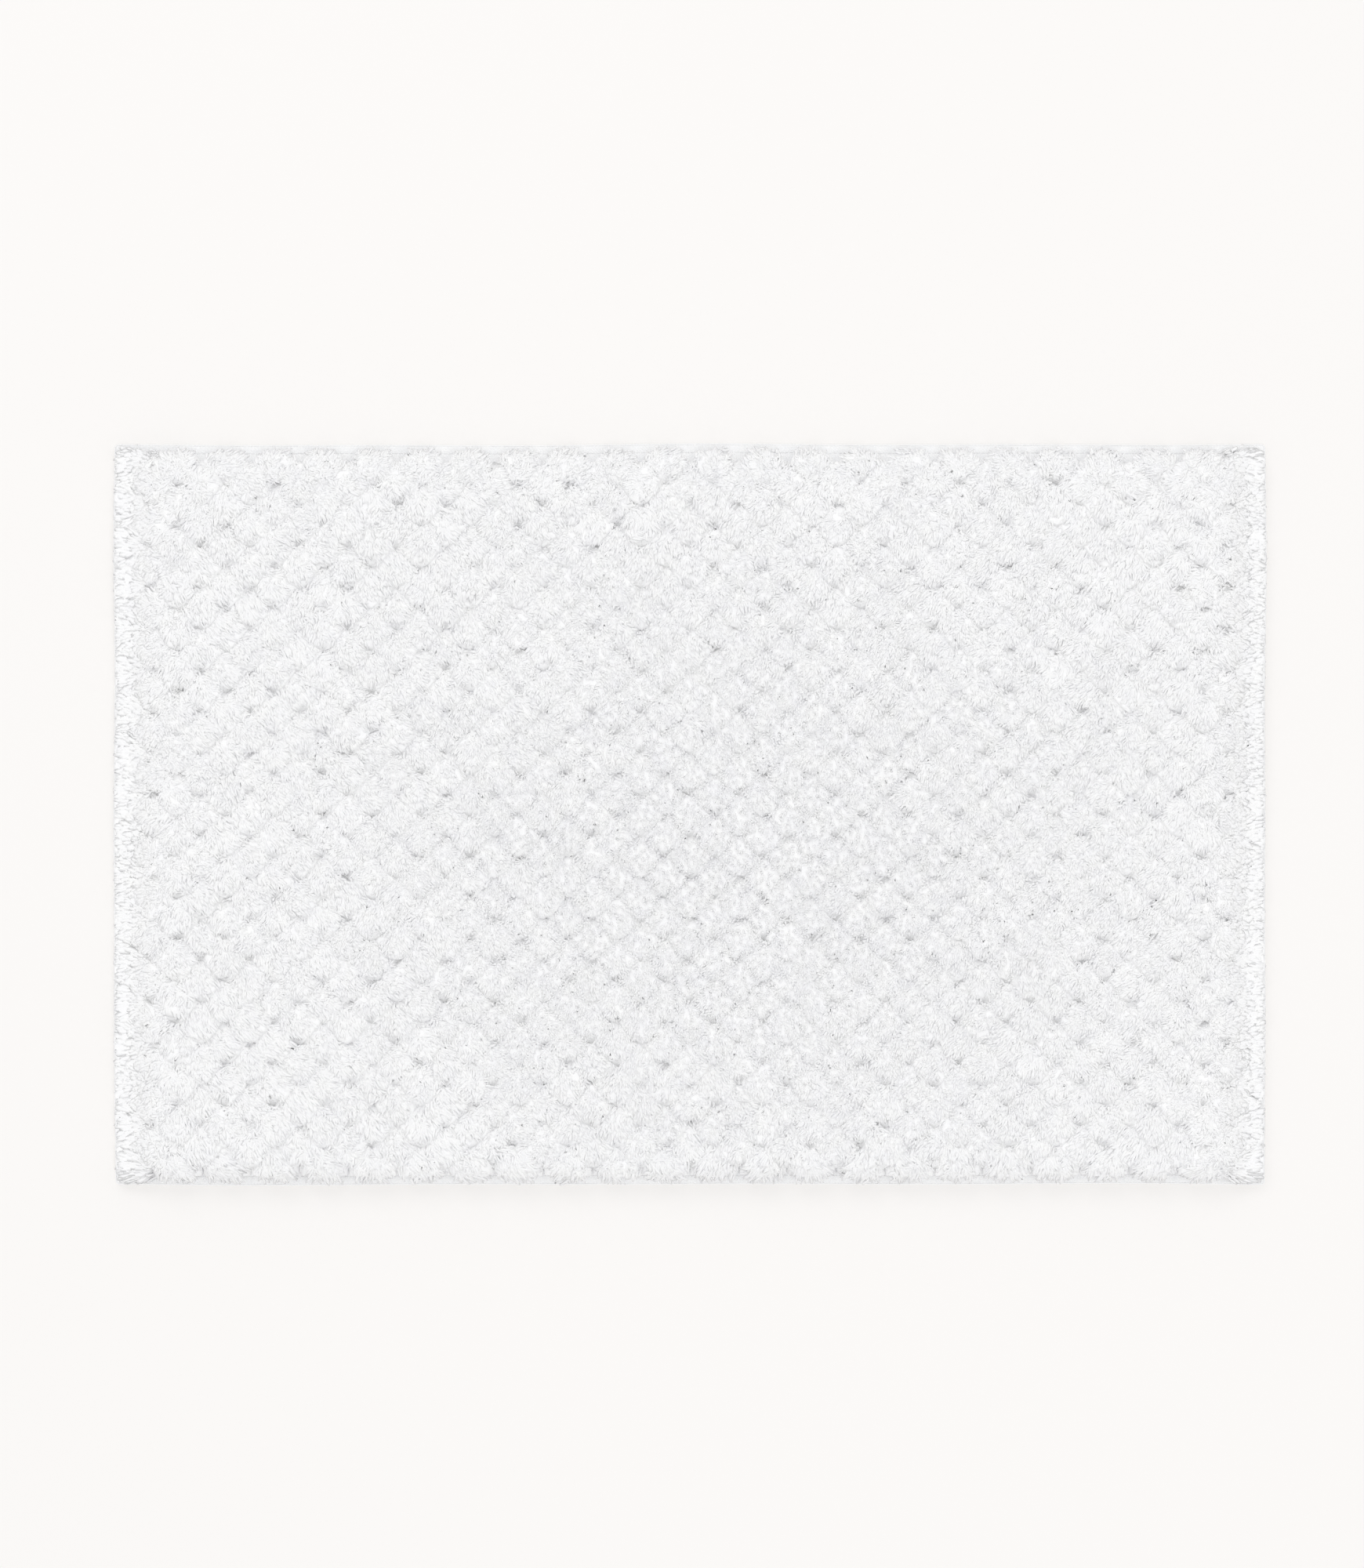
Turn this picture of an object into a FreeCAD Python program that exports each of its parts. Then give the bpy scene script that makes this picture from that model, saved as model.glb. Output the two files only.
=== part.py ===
import FreeCAD, Part

# A tufted cotton bath mat, lying flat. Millimetres, +Z up, long side along X.
# The origin is the middle of the underside, so the mat stands on the plane Z = 0.
#
# From the underside up: an anti-slip latex coat framed by four turned-under hems, the woven
# ground cloth that they lie under, the lockstitched thread of each hem, and 35 rows of cut-pile
# tufts. The tufts of neighbouring rows stand half a pitch apart, so the pile is a diamond lattice.

import os

import Sketcher

SIZES = {
    # The finished mat, edge of fold to edge of fold.
    "mat_length": 840.0,
    "mat_width": 540.0,
    # The ground cloth, and the layer below it: a hem's turned layer or the coat between the hems.
    "cloth_thickness": 1.0,
    "turn_thickness": 1.0,
    # A hem: how far it is turned under, and the folded rim that stands outside the cloth's edge.
    "long_hem_depth": 15.0,
    "side_hem_depth": 17.0,
    "fold_rim": 1.0,
    "fold_radius": 0.9,
    "corner_radius": 2.0,
    # The hem's lockstitch, and the groove that the pulled bobbin thread makes in the underside.
    "stitch_inset": 6.5,
    "thread_diameter": 0.4,
    "groove_width": 0.8,
    "groove_depth": 0.5,
    # The lattice of tufts: full rows and rows that are one tuft shorter take turns.
    "pile_rows": 35,
    "tufts_in_full_row": 24,
    "end_margin": 15.0,
    "side_margin": 12.9,
    "tuft_gap": 0.3,
    # One tuft: a narrow foot, a flared stem and a domed crown.
    "tuft_foot_radius": 5.0,
    "tuft_flare_height": 7.0,
    "tuft_height": 20.0,
    "crown_radius": 7.5,
}

BASE_THICKNESS = "(Sizes.cloth_thickness + Sizes.turn_thickness)"
COLUMN_PITCH = "((Sizes.mat_length - 2 * Sizes.side_margin) / (Sizes.tufts_in_full_row - 1))"
ROW_PITCH = "((Sizes.mat_width - 2 * Sizes.end_margin) / (Sizes.pile_rows - 1))"
# Diagonal neighbours are the closest tufts, and tuft_gap is what stays between them.
TUFT_RADIUS = f"((sqrt(({COLUMN_PITCH} / 2)^2 + {ROW_PITCH}^2) - Sizes.tuft_gap) / 2)"
LONG_HEM_LENGTH = "(Sizes.mat_length - 2 * Sizes.side_hem_depth)"
SIDE_HEM_LENGTH = "Sizes.mat_width"
THREAD_RADIUS = "(Sizes.thread_diameter / 2)"

# The distance within which a point counts as lying on an outer face.
ON_FACE = 1e-6
FULL_TURN = 360

# Each hem edge: name, the turn about Z that takes its inward direction from +Y, and where it is.
EDGES = [
    ("front", 0, "0", "-Sizes.mat_width / 2"),
    ("back", 180, "0", "Sizes.mat_width / 2"),
    ("left", -90, "-Sizes.mat_length / 2", "0"),
    ("right", 90, "Sizes.mat_length / 2", "0"),
]
LONG_EDGES = ("front", "back")


def make_sizes(document):
    """The driving dimensions, one alias for each cell of column B."""
    sheet = document.addObject("Spreadsheet::Sheet", "Sizes")
    for row, (name, value) in enumerate(SIZES.items(), start=1):
        sheet.set(f"A{row}", name)
        sheet.set(f"B{row}", str(value))
        sheet.setAlias(f"B{row}", name)
    document.recompute()
    return sheet


def number(thing, expression):
    """The value of an expression over the sheet, as a plain number."""
    return float(thing.evalExpression(expression))


def new_body(document, label):
    body = document.addObject("PartDesign::Body", label)
    body.Label = label
    return body


def origin_feature(body, role):
    return next(feature for feature in body.Origin.OriginFeatures if feature.Role == role)


def new_sketch(body, name, plane):
    sketch = body.newObject("Sketcher::SketchObject", name)
    sketch.AttachmentSupport = (origin_feature(body, plane), [""])
    sketch.MapMode = "FlatFace"
    return sketch


def bind(sketch, kind, places, value, expression):
    """Adds a dimension to a sketch and binds it to an expression over the sheet."""
    index = sketch.addConstraint(Sketcher.Constraint(kind, *places, value))
    sketch.setExpression(f"Constraints[{index}]", expression)


def draw_polygon(sketch, corners):
    """A closed outline through corners, each given as a pair of expressions."""
    points = []
    for across, up in corners:
        points.append(FreeCAD.Vector(number(sketch, across), number(sketch, up), 0))
    for start, end in zip(points, points[1:] + points[:1]):
        sketch.addGeometry(Part.LineSegment(start, end))
    for line, (point, (across, up)) in enumerate(zip(points, corners)):
        following = (line + 1) % len(corners)
        sketch.addConstraint(Sketcher.Constraint("Coincident", line, 2, following, 1))
        bind(sketch, "DistanceX", (-1, 1, line, 1), point.x, across)
        bind(sketch, "DistanceY", (-1, 1, line, 1), point.y, up)


def draw_rectangle(sketch, width, low, high):
    """A rectangle centred on the sketch's vertical axis, from low to high."""
    left = f"-{width} / 2"
    right = f"{width} / 2"
    draw_polygon(sketch, [(left, low), (right, low), (right, high), (left, high)])


def draw_circle(sketch, across, up, radius):
    centre = FreeCAD.Vector(number(sketch, across), number(sketch, up), 0)
    size = number(sketch, radius)
    circle = sketch.addGeometry(Part.Circle(centre, FreeCAD.Vector(0, 0, 1), size))
    bind(sketch, "DistanceX", (-1, 1, circle, 3), centre.x, across)
    bind(sketch, "DistanceY", (-1, 1, circle, 3), centre.y, up)
    bind(sketch, "Radius", (circle,), size, radius)


def pad(body, name, sketch, length):
    feature = body.newObject("PartDesign::Pad", name)
    feature.Profile = sketch
    feature.setExpression("Length", length)
    return feature


def pocket(body, name, sketch, depth):
    """A pocket cut upwards, in the direction of the sketch's normal."""
    feature = body.newObject("PartDesign::Pocket", name)
    feature.Profile = sketch
    feature.Reversed = True
    feature.setExpression("Length", depth)
    return feature


def fillet(body, name, base, keep, radius):
    """Rounds the edges of base whose middle point passes the test keep."""
    names = []
    for index, edge in enumerate(base.Shape.Edges, start=1):
        middle = edge.valueAt((edge.FirstParameter + edge.LastParameter) / 2)
        if keep(edge, middle):
            names.append(f"Edge{index}")
    feature = body.newObject("PartDesign::Fillet", name)
    feature.Base = (base, names)
    feature.setExpression("Radius", radius)
    return feature


def place(body, across, along, up="0", turn=0):
    """Puts a body at a place given as expressions, turned about Z by turn degrees."""
    rotation = FreeCAD.Rotation(FreeCAD.Vector(0, 0, 1), turn)
    body.Placement = FreeCAD.Placement(FreeCAD.Vector(), rotation)
    body.setExpression("Placement.Base.x", across)
    body.setExpression("Placement.Base.y", along)
    body.setExpression("Placement.Base.z", up)


def make_ground_cloth(document):
    """The woven cotton cloth that carries the tufts, inside the folded rims."""
    body = new_body(document, "ground_cloth")
    outline = new_sketch(body, "ClothOutline", "XY_Plane")
    half_width = "(Sizes.mat_width / 2 - Sizes.fold_rim)"
    draw_rectangle(outline, "(Sizes.mat_length - 2 * Sizes.fold_rim)", f"-{half_width}", half_width)
    pad(body, "ClothPad", outline, "Sizes.cloth_thickness")
    place(body, "0", "0", "Sizes.turn_thickness")
    return body


def make_latex_coat(document):
    """The anti-slip coat that locks the tufts, flush with the hems that frame it."""
    body = new_body(document, "latex_coat")
    outline = new_sketch(body, "CoatOutline", "XY_Plane")
    half_width = "(Sizes.mat_width / 2 - Sizes.long_hem_depth)"
    draw_rectangle(outline, LONG_HEM_LENGTH, f"-{half_width}", half_width)
    pad(body, "CoatPad", outline, "Sizes.turn_thickness")
    return body


def make_hem(document, edge, turn, across, along):
    """One turned-under edge: a layer below the cloth and a rounded rim outside it.

    In the body's own frame the fold is at Y = 0 and the hem reaches inwards along +Y. A side hem
    also wraps the ends of the long hems, so its rim goes round both of its own ends.
    """
    is_long = edge in LONG_EDGES
    depth = "Sizes.long_hem_depth" if is_long else "Sizes.side_hem_depth"
    length = LONG_HEM_LENGTH if is_long else SIDE_HEM_LENGTH
    seat_length = length if is_long else f"({length} - 2 * Sizes.fold_rim)"
    groove_length = length if is_long else f"({length} - 2 * Sizes.stitch_inset)"

    body = new_body(document, f"hem_{edge}")
    outline = new_sketch(body, "HemOutline", "XY_Plane")
    draw_rectangle(outline, length, "0", depth)
    blank = pad(body, "HemPad", outline, BASE_THICKNESS)

    seat = new_sketch(body, "ClothSeat", "XY_Plane")
    seat.setExpression("AttachmentOffset.Base.z", "Sizes.turn_thickness")
    draw_rectangle(seat, seat_length, "Sizes.fold_rim", depth)
    pocket(body, "ClothSeatPocket", seat, "Sizes.cloth_thickness")

    groove = new_sketch(body, "ThreadGroove", "XY_Plane")
    half_groove = "Sizes.groove_width / 2"
    low = f"Sizes.stitch_inset - {half_groove}"
    high = f"Sizes.stitch_inset + {half_groove}"
    draw_rectangle(groove, groove_length, low, high)
    last = pocket(body, "ThreadGroovePocket", groove, "Sizes.groove_depth")
    document.recompute()

    half_length = number(blank, length) / 2
    rim_top = number(blank, BASE_THICKNESS)

    def on_outside(middle):
        at_end = abs(abs(middle.x) - half_length) < ON_FACE
        return abs(middle.y) < ON_FACE or (at_end and not is_long)

    def is_corner(edge_shape, middle):
        upright = edge_shape.BoundBox.ZLength > rim_top - ON_FACE
        return upright and abs(middle.y) < ON_FACE

    def is_fold(edge_shape, middle):
        level = edge_shape.BoundBox.ZLength < ON_FACE
        on_top_or_bottom = min(abs(middle.z), abs(middle.z - rim_top)) < ON_FACE
        curved = edge_shape.Curve.TypeId == "Part::GeomCircle"
        return level and on_top_or_bottom and (on_outside(middle) or curved)

    if not is_long:
        last = fillet(body, "CornerFillet", last, is_corner, "Sizes.corner_radius")
        document.recompute()
    fillet(body, "FoldFillet", last, is_fold, "Sizes.fold_radius")
    place(body, across, along, turn=turn)
    return body


def make_hem_thread(document, edge, turn, across, along):
    """One hem's lockstitch: the needle thread on the cloth and the bobbin thread in its groove."""
    is_long = edge in LONG_EDGES
    length = LONG_HEM_LENGTH if is_long else f"({SIDE_HEM_LENGTH} - 2 * Sizes.stitch_inset)"
    body = new_body(document, f"hem_thread_{edge}")
    section = new_sketch(body, "ThreadSection", "YZ_Plane")
    needle_height = f"{BASE_THICKNESS} + {THREAD_RADIUS}"
    bobbin_height = f"Sizes.groove_depth - {THREAD_RADIUS}"
    draw_circle(section, "Sizes.stitch_inset", needle_height, THREAD_RADIUS)
    draw_circle(section, "Sizes.stitch_inset", bobbin_height, THREAD_RADIUS)
    run = pad(body, "ThreadPad", section, length)
    run.SideType = "Symmetric"
    place(body, across, along, turn=turn)
    return body


def make_pile_row(document, index):
    """One row of tufts: a single turned tuft and its repeats along the row."""
    is_full = index % 2 == 0
    tufts = "Sizes.tufts_in_full_row" if is_full else "(Sizes.tufts_in_full_row - 1)"
    body = new_body(document, f"pile_row_{index + 1:02d}")
    section = new_sketch(body, "TuftSection", "XZ_Plane")
    corners = [
        ("0", "0"),
        ("Sizes.tuft_foot_radius", "0"),
        (TUFT_RADIUS, "Sizes.tuft_flare_height"),
        (TUFT_RADIUS, "Sizes.tuft_height"),
        ("0", "Sizes.tuft_height"),
    ]
    draw_polygon(section, corners)
    stem = body.newObject("PartDesign::Revolution", "TuftRevolution")
    stem.Profile = section
    stem.ReferenceAxis = (section, ["V_Axis"])
    stem.Angle = FULL_TURN
    document.recompute()

    top = number(stem, "Sizes.tuft_height")

    def is_crown(edge_shape, middle):
        return abs(middle.z - top) < ON_FACE and edge_shape.BoundBox.ZLength < ON_FACE

    tuft = fillet(body, "CrownFillet", stem, is_crown, "Sizes.crown_radius")
    pattern = body.newObject("PartDesign::LinearPattern", "TuftPattern")
    pattern.TransformMode = "Whole shape"
    pattern.BaseFeature = tuft
    pattern.Direction = (origin_feature(body, "X_Axis"), [""])
    pattern.Mode = "Spacing"
    pattern.setExpression("Occurrences", tufts)
    pattern.setExpression("Offset", COLUMN_PITCH)
    body.Tip = pattern
    first_tuft = f"-({tufts} - 1) * {COLUMN_PITCH} / 2"
    along = f"{index} * {ROW_PITCH} + Sizes.end_margin - Sizes.mat_width / 2"
    place(body, first_tuft, along, BASE_THICKNESS)
    return body


def find_faults(document, bodies):
    """Every object that failed to build, and every sub-part whose shape is empty or invalid."""
    faults = []
    for item in document.Objects:
        if "Invalid" in item.State or "Error" in item.State:
            faults.append(f"{item.Label}: {item.State}")
    for body in bodies:
        if body.Shape.isNull() or not body.Shape.isValid() or not body.Shape.Solids:
            faults.append(f"{body.Label}: no valid solid")
    return faults


def main():
    document = FreeCAD.newDocument("BathMat")
    make_sizes(document)
    bodies = [make_ground_cloth(document), make_latex_coat(document)]
    for edge in EDGES:
        bodies.append(make_hem(document, *edge))
        bodies.append(make_hem_thread(document, *edge))
    for index in range(SIZES["pile_rows"]):
        bodies.append(make_pile_row(document, index))
    document.recompute()

    faults = find_faults(document, bodies)
    if faults:
        raise RuntimeError("; ".join(faults))
    os.makedirs("parts", exist_ok=True)
    for body in bodies:
        box = body.Shape.BoundBox
        solids = len(body.Shape.Solids)
        print(f"{body.Label}: {solids} solids, z {box.ZMin:.2f} to {box.ZMax:.2f} mm")
        body.Shape.exportStep(f"parts/{body.Label}.step")


main()
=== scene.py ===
import math

import bpy
import numpy as np
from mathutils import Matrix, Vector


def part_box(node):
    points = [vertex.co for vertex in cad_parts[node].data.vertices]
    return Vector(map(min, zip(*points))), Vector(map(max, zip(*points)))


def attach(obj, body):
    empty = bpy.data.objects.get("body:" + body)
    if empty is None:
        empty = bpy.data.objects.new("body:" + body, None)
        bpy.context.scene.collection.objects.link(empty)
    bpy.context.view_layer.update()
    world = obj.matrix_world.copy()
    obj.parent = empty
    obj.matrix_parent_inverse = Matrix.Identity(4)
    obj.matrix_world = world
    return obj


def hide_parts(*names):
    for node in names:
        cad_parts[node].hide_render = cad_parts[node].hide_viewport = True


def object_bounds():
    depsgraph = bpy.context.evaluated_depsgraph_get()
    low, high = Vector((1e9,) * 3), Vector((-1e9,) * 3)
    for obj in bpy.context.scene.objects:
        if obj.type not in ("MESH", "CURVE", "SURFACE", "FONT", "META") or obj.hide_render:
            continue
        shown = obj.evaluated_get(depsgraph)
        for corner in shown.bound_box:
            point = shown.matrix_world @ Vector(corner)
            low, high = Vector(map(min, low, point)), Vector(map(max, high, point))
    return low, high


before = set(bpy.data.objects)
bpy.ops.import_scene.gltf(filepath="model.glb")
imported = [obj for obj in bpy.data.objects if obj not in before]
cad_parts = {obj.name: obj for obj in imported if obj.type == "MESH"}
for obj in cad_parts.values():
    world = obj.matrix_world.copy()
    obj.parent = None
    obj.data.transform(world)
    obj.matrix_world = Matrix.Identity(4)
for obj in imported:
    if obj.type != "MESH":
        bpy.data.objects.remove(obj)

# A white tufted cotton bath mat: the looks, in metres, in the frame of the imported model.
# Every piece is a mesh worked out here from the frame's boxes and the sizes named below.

CAD_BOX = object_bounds()

# ---------------------------------------------------------------- sizes, in metres

# The lattice of tufts.
TUFTS_IN_FULL_ROW = 24
PILE_ROWS = 35

# One tuft: a bunch of yarn ends that stands on a narrow foot and falls open like a fountain. Its
# crown is how far the yarn spreads where no other tuft stops it.
STRANDS_PER_TUFT = 146
FOOT_RADIUS = 0.0042
CROWN_RADIUS = 0.0162
CROWN_CHANGE = 0.0008
CROWN_CHANGE_LENGTH = 0.3
# The end tufts of a row fan out over the side hem, and leave no gaps between them.
END_TUFT_RADIUS = 0.0200
END_TUFT_PITCHES = 1.2
FRONT_ROW_RADIUS = 0.0182

# The top of the pile. It sinks a little between two tufts, and into a pit where four of them meet:
# a shallow V whose arms run back along the tufts in front of it. Some pits are nearly closed.
PILE_HEIGHT = 0.0185
TUFT_HEIGHT_SPREAD = 0.0004
VALLEY_DIP = 0.0014
PIT_DIP = 0.0048
PIT_SIZE = (0.0056, 0.0030)
PIT_BEND = 0.42
PIT_SLOPE = 1.3
PIT_ROUNDNESS = 0.7
PIT_OPENING = (0.35, 1.0)
PIT_SHIFT = 0.0012
PIT_MARGIN = 2
# Outside the first and the last row the pits go on as pockets.
POCKET_DEEPENS = 1.3
POCKET_BAND = 0.0060
# The whole lattice wavers by TOP_WARP, over these lengths across and along. Each tuft leans a bit.
TOP_WARP = 0.0016
TOP_WARP_LENGTH = (0.110, 0.090)
TUFT_TILT = 0.0011
# How far inside the mat's edges the yarn ends stop: at the sides, the front and the back.
SIDE_STRIP = 0.0010
FRONT_STRIP = 0.0008
BACK_STRIP = 0.0030
# The pile lies flat over the side hems as far in as END_FLAT, and stands up again by END_BAND.
# There it keeps all but END_DROP of its height, and its dips fade by the power DIP_FADE.
END_FLAT = 0.0120
END_BAND = 0.0340
END_DROP = 0.62
DIP_FADE = 0.7
# Towards the front and the back it only slopes down, over SIDE_BAND, and less so in the corners.
# SIDE_SLOPE is the power that rounds the slope.
SIDE_BAND = 0.0150
SIDE_DROP = 0.78
SIDE_SLOPE = 1.5
CORNER_KEEPS = 0.6

# The body of a tuft, just under its outermost yarn. First come the rings of its stem, by
# shares of the tuft's reach and height, and then the rings of its top, by shares of its reach. It
# lies this deep in brushed pile and in upright pile.
STEM_RADIUS = (0.45, 0.90, 1.00)
STEM_HEIGHT = (-0.03, 0.12, 0.30)
TOP_RADIUS = (1.00, 0.84, 0.62, 0.38, 0.14)
BODY_DEPTH = (0.0001, 0.0009)
BODY_RISES_AT_SIDE = 0.8
BODY_SIDES = 16
BODY_LUMPS = 0.0002
# It ends this far inside its yarn's reach at the sides, and at the front and back.
BODY_INSET = (0.0006, 0.0066)
# Bodies and yarn reach past the halfway line to the next tuft by these shares, and interlace.
BODY_OVERLAP = 1.12
YARN_OVERLAP = 1.16

# Yarn ends: their thickness, and how they gather into locks.
YARN_RADIUS = 0.00092
YARN_RADIUS_SPREAD = 0.16
LOCKS_PER_TUFT = 22
LOCK_PULL = 0.30
LOCK_TURN = 0.30
LOCK_LIFT = 0.0003
TIP_SHIFT = 0.0009
TIP_LIFT_SPREAD = 0.00022
STRAND_TURN = 0.16
# A yarn end that is combed harder lies longer, between these shares of its full length.
STRAND_REACH = (0.5, 1.1)
# The part of a yarn end that shows: how long it is, where its rings stand as shares of the way to
# its tip, how far they lift off the top of the pile, and how thick the yarn is there. The first
# value of each pair is for brushed pile and the second for upright pile.
STRAND_LENGTH = (0.0085, 0.0022)
STRAND_STEPS = np.array([0.0, 0.35, 0.72, 1.0])
STRAND_LIFT = np.array([(-0.0009, -0.0001, 0.0001, 0.0), (-0.0026, -0.0012, 0.0002, 0.0009)])
STRAND_GIRTH = np.array([(0.90, 1.08, 1.08, 0.60), (0.70, 0.90, 0.88, 0.58)])
STRAND_FLATNESS = (0.50, 1.00)
STRAND_WAVER = 0.00025
STRAND_SIDES = 4

# The lie of the pile. It is brushed towards the front, in towards the middle on its way, and out
# over the side hems at the ends. Each tuft goes its own way a little, and its yarn fans out.
COMB_FORWARD = 0.62
COMB_INWARD = 0.34
COMB_SMOOTH = 0.26
COMB_TUFT = 0.18
COMB_LENGTH = 0.24
COMB_SIDE = 1.0
COMB_BACK = 0.35
BACK_COMB_BAND = 0.0300
SIDE_COMB_BAND = 0.0400
SIDE_COMB_START = 1.4
FAN = 0.55
# Over the side hems the yarn is calmer, flatter, wider and a little sunk into the bodies.
SIDE_CALMS = 0.8
SIDE_LOWERS_LIFT = 0.8
SIDE_FLATTENS = 0.7
SIDE_SINK = 0.00006
SIDE_WIDENS = 0.9
# The front row's yarn is longer and less upright. Near the mat's edges the yarn ends droop by
# turns, in bands this wide at the sides, and at the front and back. DROOP says how soon.
FRONT_LENGTHENS = 0.5
FRONT_BRUSHES = 0.7
DROOP_BAND = (0.0016, 0.0080)
DROOP = 1.6
# Where the pile stands most upright: the middle of the mat. There its tips are more uneven, and
# its locks less so.
STANDING_CENTRE = (0.04, -0.04)
STANDING_SPREAD = (0.27, 0.21)
STANDING_CHANCE = 0.12
STANDING_ROUGHENS = 1.0
STANDING_LOOSENS = 0.7

# How the whole mat lies: the edges wander in plan and lift a little off the floor.
EDGE_WANDER = 0.0009
EDGE_LIFT = 0.0007
EDGE_SHARPNESS = 8
# The wave lengths of each edge's wander, and of the lift along two skewed directions.
BACK_WAVES = (0.93, 0.41, 0.23)
FRONT_WAVES = (0.88, 0.37, 0.27)
RIGHT_WAVES = (0.61, 0.29, 0.17)
LEFT_WAVES = (0.66, 0.33, 0.19)
LIFT_WAVES = ((0.47, 0.31), (0.37, 0.26))
LIFT_SKEW = (0.7, 0.6)

# The cloth and its hems. The lines of the grids are given by how far they stand inside the edge.
# NOSE_TIP keeps the fold's very edge from closing to nothing.
FOLD_RIM = 0.001
NOSE_TIP = 0.0004
CORNER_RADIUS = 0.0030
STITCH_INSET = 0.0065
CLOTH_LINES = (0.001, 0.002, 0.0035, 0.005, 0.0058, 0.0062, 0.0065, 0.0068, 0.0072, 0.008, 0.010,
               0.012)
HEM_LINES = (0, 0.00004, 0.00015, 0.0004, 0.0007, 0.00099, 0.00101, 0.0022, 0.004, 0.0052, 0.0060,
             0.0065, 0.0070, 0.0078, 0.010, 0.013)
CLOTH_STEP = 0.004
HEM_STEP = 0.0012
CLOTH_RIPPLE = 0.00014
CLOTH_RIPPLE_LENGTH = (0.021, 0.034)
STITCH_GROOVE = 0.00034
STITCH_GROOVE_WIDTH = 0.0008
PUCKER_DEPTH = 0.00012

# The lockstitch: arches of thread from hole to hole, on the cloth and in the underside's groove.
STITCH_PITCH = 0.0036
STITCH_LENGTH = 0.0033
STITCH_LENGTH_SPREAD = 0.04
STITCH_RADIUS = 0.00022
STITCH_STEPS = np.array([-0.50, -0.34, 0.0, 0.34, 0.50])
STITCH_ARCH = np.array([-0.0005, 0.0001, 0.0002, 0.0001, -0.0005])
UNDERSIDE_ARCH = 0.6
STITCH_SIDES = 6
STITCH_SLANT = 0.0003
STITCH_SLANT_SPREAD = 0.3

# The latex coat: low ribs where the rows of stitches run under it, a little beaded at each tuft.
COAT_STEP = (0.0060, 0.0025)
RIB_DEPTH = 0.0004
RIB_WIDTH = 0.0030
RIB_BEADS = 0.2

# The UV map of yarn and thread: so many cells on each side, one for every tube, and its name.
UV_NAME = "OFBake"
UV_CELLS = 60
UV_MARGIN = 0.08
# The cloth's yarns, the turns of twist in one stitch, and the fibres round and along a yarn end.
WEAVE_PITCH = 0.0022
STITCH_TWIST = 4
FIBRES = (14, 8)
PORES_PER_METRE = 1400
# How strong each material's bump is, and how deep in metres.
FIBRE_BUMP = (0.5, 0.0003)
WEAVE_BUMP = (0.6, 0.00015)
TWIST_BUMP = (0.7, 0.00008)
PORE_BUMP = (0.5, 0.0003)

# Each material's colours: the size of the change between them (per metre), the darker and the
# lighter one.
PILE_SHADES = (90, (0.961, 0.961, 0.974), (0.984, 0.984, 0.984))
CLOTH_SHADES = (160, (0.95, 0.955, 0.965), (0.985, 0.985, 0.985))
THREAD_SHADES = (900, (0.88, 0.88, 0.885), (0.95, 0.95, 0.95))
LATEX_SHADES = (60, (0.74, 0.73, 0.70), (0.82, 0.81, 0.78))
SHADE_RANGE = (0.3, 0.7)
FLOOR_COLOUR = (0.948, 0.931, 0.915, 1)

# The studio: a plain floor, an even white sky, and two large soft lamps (place, size and watts).
FLOOR_SIZE = 12
FLOOR_HEIGHT = -0.0003
SKY_STRENGTH = 0.872
WINDOW_LAMP = ((-1.1, 3.2, 3.0), (3.0, 2.0), 21)
FILL_LAMP = ((0.7, -1.3, 4.0), (2.0, 2.0), 18.5)
LIGHT_BOUNCES = 12

# The camera: a long lens straight above. Its sizes are in millimetres, the view's in metres.
LENS = 85
SENSOR_WIDTH = 36
VIEW_WIDTH = 0.9956
VIEW_CENTRE = (-0.0057, 0.0223)

GOLDEN_ANGLE = math.pi * (3 - math.sqrt(5))
TINY = 1e-9
# Every use of chance has a seed of its own, this one plus a fixed number.
SEED = 385

HALF_LENGTH = float(CAD_BOX[1][0])
HALF_WIDTH = float(CAD_BOX[1][1])
CLOTH_LOW, CLOTH_HIGH = (np.array(corner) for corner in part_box("ground_cloth"))
CLOTH_BOTTOM = float(CLOTH_LOW[2])
CLOTH_TOP = float(CLOTH_HIGH[2])

# The lattice of tufts, from the boxes of the first two rows and the last.
FIRST_LOW, FIRST_HIGH = (np.array(corner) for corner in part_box("pile_row_01"))
SECOND_LOW = np.array(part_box("pile_row_02")[0])
LAST_LOW = np.array(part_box(f"pile_row_{PILE_ROWS:02d}")[0])
TUFT_RADIUS = float(FIRST_HIGH[1] - FIRST_LOW[1]) / 2
TUFT_PITCH = float(FIRST_HIGH[0] - FIRST_LOW[0] - 2 * TUFT_RADIUS) / (TUFTS_IN_FULL_ROW - 1)
ROW_PITCH = float(SECOND_LOW[1] - FIRST_LOW[1])
FIRST_X = float(FIRST_LOW[0]) + TUFT_RADIUS
FIRST_Y = float(FIRST_LOW[1]) + TUFT_RADIUS
LAST_Y = float(LAST_LOW[1]) + TUFT_RADIUS


# ---------------------------------------------------------------- meshes

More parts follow.
